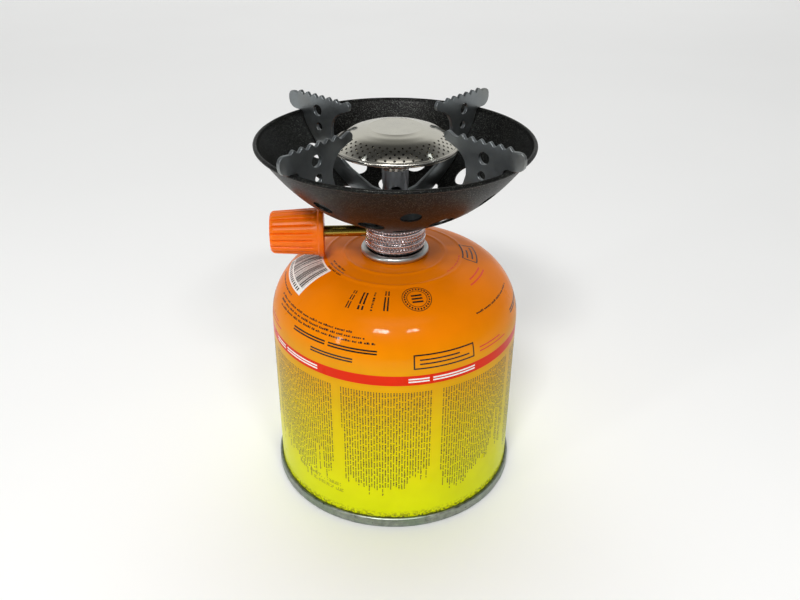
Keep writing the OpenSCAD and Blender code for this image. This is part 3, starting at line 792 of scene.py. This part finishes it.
def make_body():
    """Grip with three knurled bands between smooth beads, a polished chamfer below."""
    n = 720
    teeth = 60
    rows = []          # (radius, height, knurl depth)

    def knurl(z0, z1):
        k = max(8, int((z1 - z0) / 0.14))
        rows.append((GR - 0.28, z0 - 0.12, 0.0))
        for i in range(k + 1):
            f = i / k
            edge = min(1.0, min(f, 1 - f) * 9)
            rows.append((GR - 0.24 + 0.04 * edge, z0 + (z1 - z0) * f, 0.46 * edge))
        rows.append((GR - 0.28, z1 + 0.12, 0.0))

    def bead(z0, z1, r):
        for i in range(9):
            a = math.pi * i / 8
            rows.append((GR - 0.45 + (r - GR + 0.45) * math.sin(a), (z0 + z1) / 2 - (z1 - z0) / 2 * math.cos(a), 0.0))

    rows += [(9.3, 105.6, 0), (9.7, 106.0, 0), (9.7, GZ0 - 0.55, 0), (11.0, GZ0 - 0.5, 0), (11.3, GZ0 - 0.3, 0), (11.3, GZ0 - 0.02, 0),
             (GR - 1.2, GZ0, 0), (GR - 1.05, GZ0 + 0.12, 0), (GR - 0.25, GZ0 + 1.5, 0), (GR - 0.08, GZ0 + 1.9, 0), (GR - 0.2, GZ0 + 2.2, 0)]
    knurl(GZ0 + 2.45, GZ0 + 3.75)
    bead(GZ0 + 3.9, GZ0 + 5.15, GR)
    knurl(GZ0 + 5.35, GZ0 + 8.4)
    bead(GZ0 + 8.6, GZ0 + 9.85, GR)
    knurl(GZ0 + 10.05, GZ1 - 0.35)
    rows += [(GR - 0.5, GZ1, 0), (6.8, GZ1, 0), (6.8, 127.7, 0), (6.5, 128.0, 0), (5.5, 128.0, 0), (5.5, 124.2, 0), (2.5, 124.2, 0),
             (2.5, 120.6, 0), (0.0, 120.6, 0)]
    inner = [(0.0, 114.65), (5.62, 114.65), (5.62, 105.6)]
    verts, faces, rings = [], [], []
    for (r, z, d) in rows:
        if r < 1e-5:
            rings.append([len(verts)]); verts.append((0, 0, z)); continue
        ring = list(range(len(verts), len(verts) + n))
        for i in range(n):
            a = 2 * math.pi * i / n
            q = 0.0
            if d > 0:
                u = a * teeth / (2 * math.pi)
                w = (z - GZ0) / 1.30
                t0 = (u + w * 0.5) % 1.0
                t1 = (u - w * 0.5) % 1.0
                p = min(1 - abs(2 * t0 - 1), 1 - abs(2 * t1 - 1))
                q = d * (min(1.0, p * 1.35) - 0.85)
            verts.append(((r + q) * math.cos(a), (r + q) * math.sin(a), z))
        rings.append(ring)
    last = []
    for (r, z) in inner:
        if r < 1e-5:
            last.append([len(verts)]); verts.append((0, 0, z))
        else:
            last.append(list(range(len(verts), len(verts) + n)))
            for i in range(n):
                a = 2 * math.pi * i / n
                verts.append((r * math.cos(a), r * math.sin(a), z))
    chain = rings
    for A, B in list(zip(chain, chain[1:])) + [(last[0], last[1]), (last[1], last[2]), (last[2], rings[0])]:
        for i in range(n):
            j = (i + 1) % n
            if len(A) == 1:
                faces.append((A[0], B[j], B[i]))
            elif len(B) == 1:
                faces.append((A[i], A[j], B[0]))
            else:
                faces.append((A[i], A[j], B[j], B[i]))
    o = from_lists("valve_body_steel", verts, faces, 50)
    bm = bmesh.new(); bm.from_mesh(o.data)
    bmesh.ops.recalc_face_normals(bm, faces=bm.faces)
    bm.to_mesh(o.data); bm.free()
    shade(o, 50)
    give(o, "grip")
    cut(o, [rod("cut_bore", (-20, 0, SPZ), (-7.4, 0, SPZ), 3.62, 48)], 50)
    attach(o, "stove"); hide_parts("valve_body")


# ---------------------------------------------------------------- bowl
BR0, BOWL_R, BOWL_TOP, BEAD = 13.5, 56.6, 158.0, 0.9
EDGE = BOWL_R - BEAD - 0.5


def bowl_z(r):
    return GZ1 + 0.55 * (r - BR0) + 0.0058 * max(0.0, r - 28.0) ** 2.3


def bowl_n(r):
    s = (bowl_z(r + 0.05) - bowl_z(r - 0.05)) / 0.1
    l = math.hypot(1, s)
    return s / l, -1 / l          # outward and down


def make_bowl():
    T = 0.8
    out, inn = [], []
    out += [(6.85, GZ1), (BR0 - 1.6, GZ1), (BR0 - 0.7, GZ1 + 0.02), (BR0 + 0.2, GZ1 + 0.25)]
    k = 60
    for i in range(k + 1):
        r = BR0 + 1.2 + (EDGE - BR0 - 1.2) * i / k
        out.append((r, bowl_z(r)))
    # the wall turns out into the roll of the rim
    cx, cz = BOWL_R - BEAD, BOWL_TOP - BEAD
    roll = []
    for i in range(25):
        a = math.radians(225 + 318 * i / 24)
        roll.append((cx + (BEAD - 0.01) * math.cos(a), cz + (BEAD - 0.01) * math.sin(a)))
    for i in range(k, -1, -1):
        r = BR0 + 1.0 + (EDGE - BR0 - 1.4) * i / k
        nr, nz = bowl_n(r)
        inn.append((r - nr * T, bowl_z(r) - nz * T))
    inn += [(BR0 - 0.4, GZ1 + T + 0.06), (BR0 - 1.6, GZ1 + T), (6.85, GZ1 + T)]
    roll = [p for p in roll if not (p[0] < EDGE + 0.05 and p[1] < cz - 0.2)]
    o = revolve("bowl_enamelled", out + roll + inn, 288, 40)
    cutters = []
    for i in range(8):
        for (r, a, h) in ((35.5, (i + 0.5) * 45, 5.2), (44.3, i * 45, 4.0), (24.3, i * 45, 4.2)):
            a = math.radians(a + 4.0)
            nr, nz = bowl_n(r)
            p = Vector((r * math.cos(a), r * math.sin(a), bowl_z(r)))
            d = Vector((nr * math.cos(a), nr * math.sin(a), nz))
            cutters.append(rod("cut_vent", p - d * 4, p + d * 4, h, 64))
    # join the cutters into one object, they don't touch each other
    me = bpy.data.meshes.new("cut_vents")
    bm = bmesh.new()
    for c in cutters:
        bm.from_mesh(c.data)
        bpy.data.objects.remove(c)
    bm.to_mesh(me); bm.free()
    give(o, "bowl")
    cut(o, [link_new("cut_vents", me)], 40)
    # exact surface normals on the wall, so the holes leave no shading marks
    me = o.data
    normals = []
    for p in me.polygons:
        fn = p.normal
        for li in p.loop_indices:
            co = me.vertices[me.loops[li].vertex_index].co
            r = math.hypot(co.x, co.y) / MM
            z = co.z / MM
            nvec = fn
            if BR0 + 1.3 < r < EDGE - 0.3 and z < 156.8:
                nr, nz = bowl_n(min(r, EDGE - 0.3))
                a = Vector((co.x, co.y, 0)).normalized()
                sn = Vector((a.x * nr, a.y * nr, nz))
                dz = z - bowl_z(r)
                if fn.dot(sn) > 0.93 and dz < 0.25:
                    nvec = sn
                elif fn.dot(sn) < -0.93:
                    nvec = -sn
                else:
                    nvec = None
            else:
                nvec = None
            normals.append(nvec)
    base = [Vector(c.vector) for c in me.corner_normals]
    me.normals_split_custom_set([tuple(nv if nv is not None else base[i]) for i, nv in enumerate(normals)])
    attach(o, "stove"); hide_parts("bowl")


# ---------------------------------------------------------------- pot supports
ARM_TOP, TOOTH_H, TOOTH_P, TOOTH_R0 = 166.8, 1.5, 4.25, 31.2


def arm_outline():
    low = lambda r: max(GZ1 + 0.8 + 1.25, bowl_z(r) + 1.75)
    P = [(26.1, 162.9), (25.4, 163.5), (25.05, 164.4), (25.1, 165.3), (25.6, 166.2), (26.4, ARM_TOP - 0.05), (27.3, ARM_TOP - 0.05),
         (28.1, ARM_TOP - 0.4), (29.4, ARM_TOP - 1.1), (30.4, ARM_TOP - TOOTH_H)]
    for k in range(6):
        for i in range(10):
            f = i / 10
            # round teeth with valleys as wide as the tips
            P.append((TOOTH_R0 + TOOTH_P * (k + f), ARM_TOP - TOOTH_H + TOOTH_H * math.sin(math.pi * f) ** 2))
    P += [(56.8, 165.5), (58.4, 165.75), (60.1, 165.6), (61.2, 164.9), (61.8, 163.7), (61.9, 161.9), (61.45, 160.2), (60.4, 159.0),
          (59.0, 158.35), (57.5, 158.15), (54.3, 158.15), (53.6, 157.9), (53.1, 157.2)]
    for i in range(21):
        r = 51.6 - (51.6 - 11) * i / 20
        P.append((r, low(r)))
    P += [(7.4, low(11)), (7.4, 128.3), (5.9, 128.3), (5.9, 133.0), (7.0, 133.2), (13.5, 133.6), (20, 136.2), (26, 138.7), (30, 141.2),
          (33, 144.6), (35, 148.2), (36, 151.5), (36, 154), (35.3, 156.5), (33.8, 158.9), (31.4, 160.8), (28.5, 162.1)]
    return P


def make_arm(i, az):
    cu = bpy.data.curves.new("arm_curve", "CURVE")
    cu.dimensions = "2D"
    cu.fill_mode = "BOTH"
    edge = 0.16
    cu.extrude = (0.75 - edge) * MM
    cu.bevel_depth = edge * MM
    cu.bevel_resolution = 2
    cu.offset = -edge * MM

    def loop(pts):
        sp = cu.splines.new("POLY")
        sp.points.add(len(pts) - 1)
        for p, (x, y) in zip(sp.points, pts):
            p.co = (x * MM, y * MM, 0, 1)
        sp.use_cyclic_u = True

    P = arm_outline()
    # resample with short fillets so that stamped corners look soft
    loop(rounded(P[::-1], 0.5, 3))
    for (cx, cz, r) in ((44, 160, 2.35), (43.3, 153.1, 1.7)):
        loop([(cx + r * math.cos(2 * math.pi * k / 40), cz + r * math.sin(2 * math.pi * k / 40)) for k in range(40)])
    co = link_new("arm_curve", cu)
    dg = bpy.context.evaluated_depsgraph_get()
    me = bpy.data.meshes.new_from_object(co.evaluated_get(dg))
    bpy.data.objects.remove(co)
    bm = bmesh.new(); bm.from_mesh(me)
    bmesh.ops.remove_doubles(bm, verts=bm.verts, dist=0.004 * MM)
    bmesh.ops.recalc_face_normals(bm, faces=bm.faces)
    bm.to_mesh(me); bm.free()
    me.transform(Matrix.Rotation(math.radians(az), 4, "Z") @ Matrix.Rotation(math.radians(90), 4, "X"))
    o = shade(link_new("pot_support_plate_%d" % i, me), 32)
    side = Vector((-math.sin(math.radians(az)), math.cos(math.radians(az)), 0))
    for p in o.data.polygons:
        if abs(p.normal.dot(side)) > 0.995:
            p.use_smooth = False
    give(o, "zinc")
    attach(o, "stove"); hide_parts("pot_support_%d" % i)


# ---------------------------------------------------------------- burner
HEAD_TOP = 162.5
CAP = [(0.0, HEAD_TOP), (10.85, HEAD_TOP), (11.1, HEAD_TOP - 0.06), (12.5, HEAD_TOP - 0.36), (14.2, HEAD_TOP - 0.66), (16.0, HEAD_TOP - 1.15),
       (17.6, HEAD_TOP - 1.65), (18.9, HEAD_TOP - 2.25), (20.2, HEAD_TOP - 3.05), (21.5, HEAD_TOP - 4.0), (22.7, HEAD_TOP - 5.0),
       (23.8, HEAD_TOP - 6.0), (24.45, HEAD_TOP - 6.75), (24.75, HEAD_TOP - 7.3)]
CAP_S = [0.0]
for a, b in zip(CAP, CAP[1:]):
    CAP_S.append(CAP_S[-1] + math.hypot(b[0] - a[0], b[1] - a[1]))


def cap_at(s):
    """Point of the cap's profile at arc length s, rounded between its corners."""
    for i in range(len(CAP_S) - 1):
        if s <= CAP_S[i + 1] or i == len(CAP_S) - 2:
            f = (s - CAP_S[i]) / (CAP_S[i + 1] - CAP_S[i])
            p0 = CAP[max(0, i - 1)]; p1 = CAP[i]; p2 = CAP[i + 1]; p3 = CAP[min(len(CAP) - 1, i + 2)]
            if i < 2:
                return (p1[0] + (p2[0] - p1[0]) * f, p1[1] + (p2[1] - p1[1]) * f)
            out = []
            for c in (0, 1):
                a, b, cc, d = p0[c], p1[c], p2[c], p3[c]
                out.append(0.5 * (2 * b + (cc - a) * f + (2 * a - 5 * b + 4 * cc - d) * f * f + (3 * b - a - 3 * cc + d) * f ** 3))
            return tuple(out)


def make_cap():
    n_cell, per = 42, 4
    n = n_cell * per
    radii = [19.45, 20.65, 21.8, 22.85, 23.8]
    hole = 0.5

    def s_of_r(r):
        lo, hi = CAP_S[2], CAP_S[-1]
        for _ in range(40):
            mid = (lo + hi) / 2
            if cap_at(mid)[0] < r:
                lo = mid
            else:
                hi = mid
        return lo

    rows = [s_of_r(r) for r in radii]
    gap = [(rows[i] + rows[i + 1]) / 2 for i in range(4)]
    bounds = [rows[0] - (gap[0] - rows[0])] + gap + [rows[4] + (rows[4] - gap[3])]
    verts, faces = [], []

    def at(az, s):
        r, z = cap_at(s)
        verts.append((r * math.cos(az), r * math.sin(az), z))
        return len(verts) - 1

    # plain rings above the holes
    ss = [0.0, 3.0, 6.0, 9.0, CAP_S[1], (CAP_S[1] + CAP_S[2]) / 2, CAP_S[2]]
    k = 12
    for i in range(1, k + 1):
        ss.append(CAP_S[2] + (bounds[0] - CAP_S[2]) * i / k)
    prev = None
    for s in ss:
        ring = [at(0, s)] if s == 0 else [at(2 * math.pi * i / n, s) for i in range(n)]
        if prev:
            for i in range(n):
                j = (i + 1) % n
                if len(prev) == 1:
                    faces.append((prev[0], ring[i], ring[j]))
                else:
                    faces.append((prev[i], ring[i], ring[j], prev[j]))
        prev = ring
    # rows of cells, every second row shifted by half a cell
    d = 2 * math.pi / n_cell
    for k in range(5):
        s0, s1, sc = bounds[k], bounds[k + 1], rows[k]
        for c in range(n_cell):
            ac = (c + 0.5 * (k % 2)) * d
            edge = []
            for i in range(4):
                edge.append((ac - d / 2 + d * i / 4, s0))
            for i in range(4):
                edge.append((ac + d / 2, s0 + (s1 - s0) * i / 4))
            for i in range(4):
                edge.append((ac + d / 2 - d * i / 4, s1))
            for i in range(4):
                edge.append((ac - d / 2, s1 - (s1 - s0) * i / 4))
            r = cap_at(sc)[0]
            O = [at(a, s) for a, s in edge]
            I = []
            for (a, s) in edge:
                th = math.atan2(s - sc, (a - ac) * r)
                I.append(at(ac + hole * math.cos(th) / r, sc + hole * math.sin(th)))
            for i in range(16):
                j = (i + 1) % 16
                faces.append((O[i], I[i], I[j], O[j]))
    # skirt below the holes
    prev = [at(2 * math.pi * i / n, bounds[5]) for i in range(n)]
    for q in (0.5, 1.0):
        s = bounds[5] + (CAP_S[-1] - bounds[5]) * q
        ring = [at(2 * math.pi * i / n, s) for i in range(n)]
        for i in range(n):
            j = (i + 1) % n
            faces.append((prev[i], ring[i], ring[j], prev[j]))
        prev = ring
    o = from_lists("burner_cap_steel", verts, faces, 60, doubles=0.003)
    bm = bmesh.new(); bm.from_mesh(o.data)
    up = sum(1 if f.normal.z > 0 else -1 for f in bm.faces)
    if up < 0:
        bmesh.ops.reverse_faces(bm, faces=bm.faces)
    bm.to_mesh(o.data); bm.free()
    md = o.modifiers.new("thick", "SOLIDIFY")
    md.thickness = 0.5 * MM; md.offset = -1; md.use_even_offset = False
    dg = bpy.context.evaluated_depsgraph_get()
    me = bpy.data.meshes.new_from_object(o.evaluated_get(dg))
    o.modifiers.clear(); o.data = me
    shade(o, 30)
    for pl in o.data.polygons:
        if pl.normal.z > 0.9999:
            pl.use_smooth = False
    give(o, "steel_cap")
    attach(o, "stove"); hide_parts("burner_cap")


def make_burner_cup():
    prof = [(5.5, 145.6), (6.0, 145.6), (6.15, 146.2), (6.2, 147.0), (6.6, 147.55), (7.5, 147.9), (9.5, 148.5), (12, 149.3), (15, 150.25),
            (18, 151.3), (21, 152.5), (23.0, 153.45), (24.2, 154.15)]
    cx, cz, rr = 24.9, 155.1, 0.98
    for i in range(25):
        a = math.radians(232 + (360 - 232 + 128) * i / 24)
        prof.append((cx + rr * math.cos(a), cz + rr * math.sin(a)))
    prof += [(24.62, 155.5), (24.55, 155.0), (24.2, 154.95), (23.0, 154.1), (21, 153.2), (18, 152.0), (15, 150.95), (12, 150.0), (9.0, 149.1),
             (7.2, 148.6), (6.1, 148.3), (5.5, 148.0)]
    o = revolve("burner_cup_steel", prof, 220, 40)
    give(o, "steel")
    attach(o, "stove"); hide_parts("burner_cup")


# ---------------------------------------------------------------- knob
def make_knob():
    X0, L, R1, R2, RF = 30.0, 22.4, 10.0, 8.9, 10.7
    flutes, per = 18, 26
    n = flutes * per
    rows = [(4.0, 0.9, 0), (4.0, 0.0, 0)]
    for p in rounded([(4.0, 0.0), (RF - 0.02, 0.0), (RF - 0.02, 1.9), (R1 + 0.05, 2.5), (R1 - 0.02, 3.6)], [0, 0.45, 0.4, 0.5, 0], 6)[1:]:
        rows.append((p[0], p[1], 0.0))
    k = 26
    for i in range(1, k + 1):
        x = 3.6 + (L - 1.9 - 3.6) * i / k
        rows.append((R1 - (R1 - R2) * (x - 3) / (L - 3), x, min(1.0, i / 2.0)))
    # round the outer end, flutes run out over it
    rc = 1.9
    rb = R1 - (R1 - R2) * (L - rc - 3) / (L - 3)
    for i in range(1, 13):
        a = math.pi / 2 * i / 12
        rows.append((rb - rc * (1 - math.cos(a)), L - rc + rc * math.sin(a), math.cos(a) ** 0.6 if i < 12 else 0.0))
    rows += [(6.2, L, 0), (5.9, L - 0.15, 0), (5.7, L - 0.6, 0), (5.2, L - 0.75, 0), (0.0, L - 0.75, 0)]
    verts, faces, rings = [], [], []
    for (r, x, g) in rows:
        if r < 1e-5:
            rings.append([len(verts)]); verts.append((-(X0 + x), 0, SPZ)); continue
        rings.append(list(range(len(verts), len(verts) + n)))
        for i in range(n):
            a = 2 * math.pi * i / n
            u = (a * flutes / (2 * math.pi) + 0.5) % 1.0
            d = abs(u - 0.5) * 2           # 0 in the groove, 1 between two grooves
            v = max(0.0, 1 - (d / 0.30)) if d < 0.30 else 0.0
            groove = 0.74 * (v * v * (3 - 2 * v))
            crown = 0.16 * (d - 0.3) / 0.7 if d > 0.3 else 0.0
            rr = r - g * (groove + 0.16 - crown)
            verts.append((-(X0 + x), rr * math.cos(a), SPZ + rr * math.sin(a)))
    # socket inside
    for (r, x) in ((2.37, 0.9), (2.37, 12.2), (0.0, 12.2)):
        if r < 1e-5:
            rings.append([len(verts)]); verts.append((-(X0 + x), 0, SPZ))
        else:
            rings.append(list(range(len(verts), len(verts) + n)))
            for i in range(n):
                a = 2 * math.pi * i / n
                verts.append((-(X0 + x), r * math.cos(a), SPZ + r * math.sin(a)))
    m = len(rows)
    pairs = [(k, k + 1) for k in range(m - 1)] + [(m, 0), (m, m + 1), (m + 1, m + 2)]
    for ia, ib in pairs:
        A, B = rings[ia], rings[ib]
        for i in range(n):
            j = (i + 1) % n
            if len(A) == 1:
                faces.append((A[0], B[i], B[j]))
            elif len(B) == 1:
                faces.append((A[i], B[0], A[j]))
            else:
                faces.append((A[i], B[i], B[j], A[j]))
    o = from_lists("knob_moulded", verts, faces, 38)
    bm = bmesh.new(); bm.from_mesh(o.data)
    bmesh.ops.recalc_face_normals(bm, faces=bm.faces)
    bm.to_mesh(o.data); bm.free()
    shade(o, 38)
    give(o, "knob")
    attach(o, "knob"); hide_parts("knob")


# ---------------------------------------------------------------- CAD nodes that stay
def keep(node, key, angle=30):
    o = NODES[node]
    give(o, key)
    for p in o.data.polygons:
        p.use_smooth = True
    o.data.set_sharp_from_angle(angle=math.radians(angle))


make_shell(); make_base(); make_cup(); make_print(); make_body(); make_bowl()
for i, az in enumerate((45, 135, 225, 315)):
    make_arm(i + 1, az)
make_cap(); make_burner_cup(); make_knob()
for node, key in (("cup_gasket", "rubber"), ("stem_gasket", "rubber"), ("stub_seal", "rubber"), ("spindle_oring", "rubber"),
                  ("valve_housing", "housing"), ("valve_plunger", "housing"), ("valve_spring", "spring"), ("actuator_pin", "brass"),
                  ("gas_filter", "sinter"), ("jet", "brass"), ("gland_bush", "brass"), ("spindle", "brass"),
                  ("support_hub", "zinc"), ("burner_tube", "tube")):
    keep(node, key)

# ---------------------------------------------------------------- floor and light
bm = bmesh.new()
bmesh.ops.create_grid(bm, x_segments=1, y_segments=1, size=4.0)
me = bpy.data.meshes.new("floor"); bm.to_mesh(me); bm.free()
floor = link_new("floor", me)
fm = Mat("floor_pale", lin(243, 243, 242), 0.8, 0.0, Specular_IOR_Level=0.1)
fm.set("Base Color", fm.ramp(fm.noise(2.0), [(0.3, lin(241, 241, 240)), (0.7, lin(245, 245, 244))]))
fm.set("Roughness", fm.mapr(fm.noise(3.0), 0.3, 0.7, 0.65, 0.8))
floor.data.materials.append(fm.m)


def softbox(name, direction, dist, w, h, power, target=(0, 0, 0.1), col=(1, 1, 1)):
    d = Vector(direction).normalized()
    d = Matrix.Rotation(YAW, 3, "Z") @ d
    la = bpy.data.lights.new(name, "AREA")
    la.shape = "RECTANGLE"; la.size = w; la.size_y = h; la.energy = power; la.color = col
    o = bpy.data.objects.new(name, la)
    bpy.context.scene.collection.objects.link(o)
    o.location = Vector(target) + d * dist
    o.rotation_euler = d.to_track_quat("Z", "Y").to_euler()
    return o


softbox("key_left", (-0.17, -0.68, 0.71), 1.0, 0.20, 0.11, 5.0)
softbox("key_right", (0.25, -0.65, 0.72), 1.0, 0.15, 0.06, 1.7)
softbox("key_low", (-0.74, -0.63, 0.24), 1.1, 0.08, 0.22, 1.2)
fill = softbox("ceiling", (0.0, 0.4, 1.0), 2.3, 3.4, 3.4, 54.0, (0, 1.1, 0.0))
fill.visible_glossy = False

world = bpy.data.worlds.new("world")
bpy.context.scene.world = world
world.use_nodes = True
wn = world.node_tree
bg = wn.nodes["Background"]
wt = wn.nodes.new("ShaderNodeTexCoord")
ws = wn.nodes.new("ShaderNodeSeparateXYZ")
wn.links.new(wt.outputs["Generated"], ws.inputs[0])


def world_ramp(source, stops):
    r = wn.nodes.new("ShaderNodeValToRGB")
    mr = wn.nodes.new("ShaderNodeMapRange")
    mr.inputs["From Min"].default_value = -1.0
    mr.inputs["From Max"].default_value = 1.0
    wn.links.new(source, mr.inputs["Value"])
    wn.links.new(mr.outputs["Result"], r.inputs[0])
    r.color_ramp.interpolation = "EASE"
    el = r.color_ramp.elements
    while len(el) < len(stops):
        el.new(0.5)
    for e, (p, c) in zip(el, stops):
        e.position = (p + 1) / 2
        e.color = (c[0], c[1], c[2], 1.0)
    return r.outputs[0]


# dark room overhead and in front, a pale backdrop low behind
depth = world_ramp(ws.outputs[1], [(-0.62, (0.13, 0.135, 0.145)), (-0.15, (0.17, 0.175, 0.185)), (0.35, (0.34, 0.345, 0.35)), (0.70, (0.68, 0.69, 0.68))])
up = world_ramp(ws.outputs[2], [(0.52, (1.0, 1.0, 1.0)), (0.80, (0.30, 0.30, 0.29)), (0.97, (0.22, 0.22, 0.21))])
wa = wn.nodes.new("ShaderNodeMix")
wa.data_type = "RGBA"; wa.blend_type = "MULTIPLY"
wa.inputs[0].default_value = 1.0
wn.links.new(depth, wa.inputs[6]); wn.links.new(up, wa.inputs[7])
# a wide pale window high in front
win_y = world_ramp(ws.outputs[1], [(-0.5, (1.0, 1.0, 1.0)), (-0.12, (0.0, 0.0, 0.0))])
win_z = world_ramp(ws.outputs[2], [(0.80, (0.0, 0.0, 0.0)), (0.885, (1.5, 1.48, 1.44)), (0.955, (1.3, 1.28, 1.25)), (0.99, (0.0, 0.0, 0.0))])
wb = wn.nodes.new("ShaderNodeMix")
wb.data_type = "RGBA"; wb.blend_type = "MULTIPLY"
wb.inputs[0].default_value = 1.0
wn.links.new(win_y, wb.inputs[6]); wn.links.new(win_z, wb.inputs[7])
wc = wn.nodes.new("ShaderNodeMix")
wc.data_type = "RGBA"; wc.blend_type = "ADD"
wc.inputs[0].default_value = 1.0
wn.links.new(wa.outputs[2], wc.inputs[6]); wn.links.new(wb.outputs[2], wc.inputs[7])
wn.links.new(wc.outputs[2], bg.inputs[0])
bg.inputs[1].default_value = 1.0
bpy.context.scene.view_settings.view_transform = "Standard"
